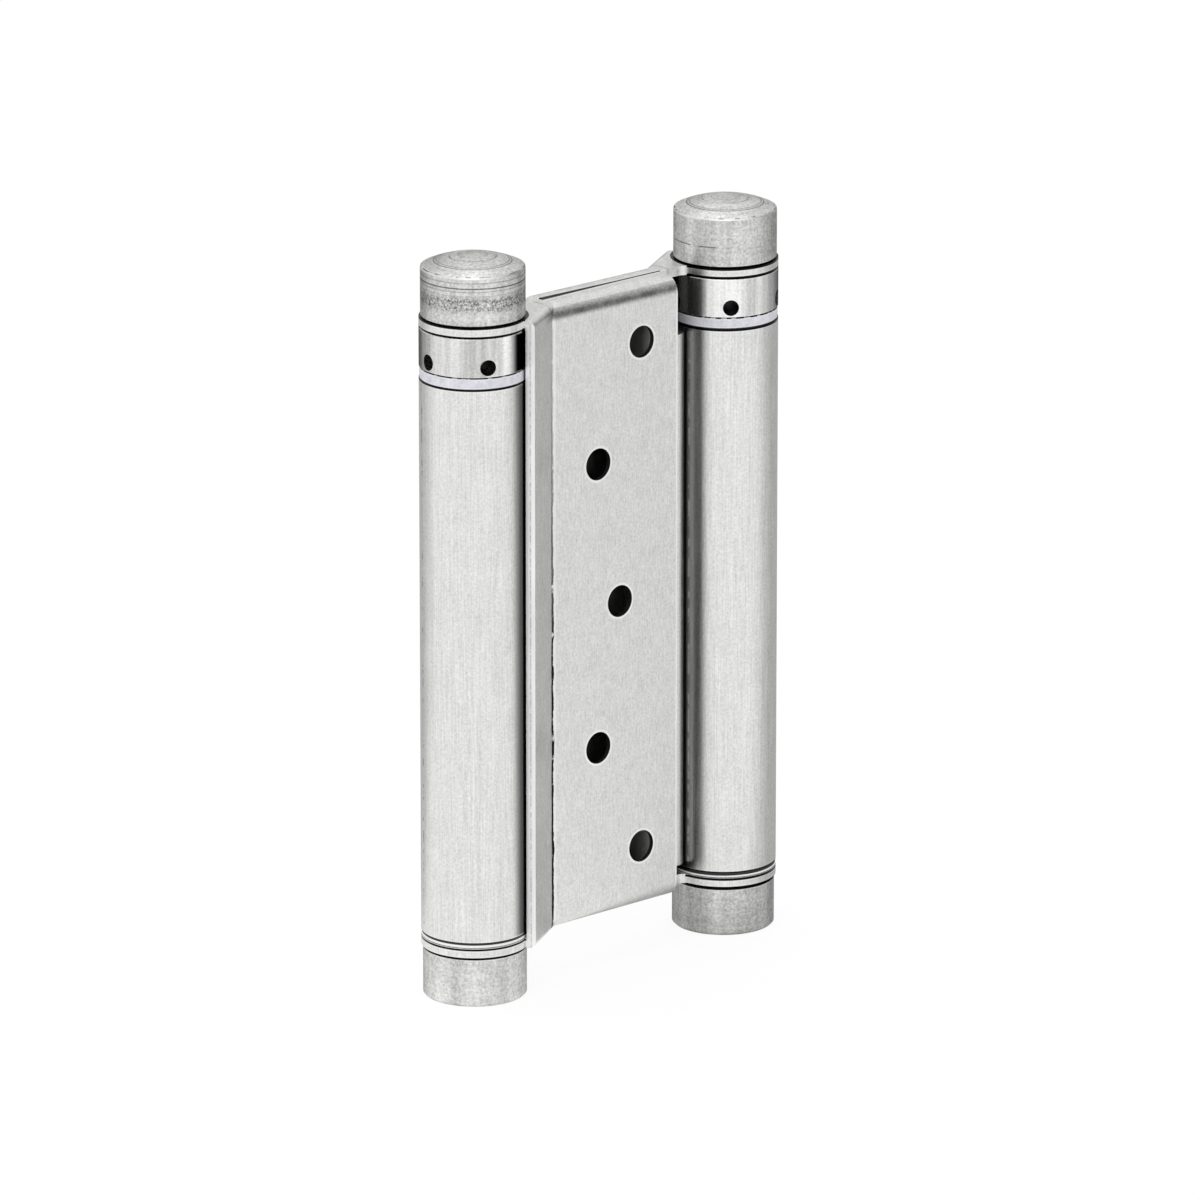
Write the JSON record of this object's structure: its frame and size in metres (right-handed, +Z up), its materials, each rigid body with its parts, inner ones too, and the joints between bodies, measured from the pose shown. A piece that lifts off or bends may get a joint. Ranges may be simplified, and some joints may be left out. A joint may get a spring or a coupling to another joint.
{
  "type": "double action spring hinge",
  "caption": "Double action spring hinge: twin spring barrels joined by a web, each with a folded screw-on leaf, drilled tension collars and turned end caps.",
  "frame": {"origin": "midway between the two barrel axes, on the plane of the lower caps' end faces", "axes": "+X from the front leaf's barrel to the rear leaf's barrel, +Y to the rear leaf's side, +Z up along the barrels"},
  "size_m": [0.0688, 0.018, 0.1174],
  "materials": {
    "barrel_steel": "satin, fine vertical brushing",
    "leaf_steel": "satin, vertical brushing",
    "collar_steel": "satin, turned",
    "turned_steel": "matt, turned",
    "spring_steel": "oiled",
    "nylon": "smooth, slightly milky"
  },
  "bodies": {
    "barrels": {"centre_body": "barrel_steel", "left_lower_bush": "nylon", "left_spring_plug": "turned_steel", "left_torsion_spring": "spring_steel", "left_upper_bush": "nylon", "right_lower_bush": "nylon", "right_spring_plug": "turned_steel", "right_torsion_spring": "spring_steel", "right_upper_bush": "nylon"},
    "front_leaf_body": {"front_leaf": "leaf_steel", "left_spindle": "turned_steel", "left_upper_cap": "turned_steel", "left_lower_cap": "turned_steel"},
    "rear_leaf_body": {"rear_leaf": "leaf_steel", "right_spindle": "turned_steel", "right_upper_cap": "turned_steel", "right_lower_cap": "turned_steel"},
    "left_collar_body": {"left_tension_collar": "collar_steel"},
    "right_collar_body": {"right_tension_collar": "collar_steel"}
  },
  "joints": [
    {"name": "front_leaf_swing", "type": "hinge", "parent": "barrels", "child": "front_leaf_body", "pos_m": [-0.0261, 0, 0], "axis": [0, 0, -1], "range_deg": [0, 180]},
    {"name": "rear_leaf_swing", "type": "hinge", "parent": "barrels", "child": "rear_leaf_body", "pos_m": [0.0261, 0, 0], "axis": [0, 0, -1], "range_deg": [0, 180]},
    {"name": "left_collar_turn", "type": "hinge", "parent": "barrels", "child": "left_collar_body", "pos_m": [-0.0261, 0, 0], "axis": [0, 0, -1], "range_deg": [0, 288], "stiffness_Nm_per_rad": 0.15, "deforming": ["left_torsion_spring"]},
    {"name": "right_collar_turn", "type": "hinge", "parent": "barrels", "child": "right_collar_body", "pos_m": [0.0261, 0, 0], "axis": [0, 0, -1], "range_deg": [0, 288], "stiffness_Nm_per_rad": 0.15, "deforming": ["right_torsion_spring"]}
  ]
}
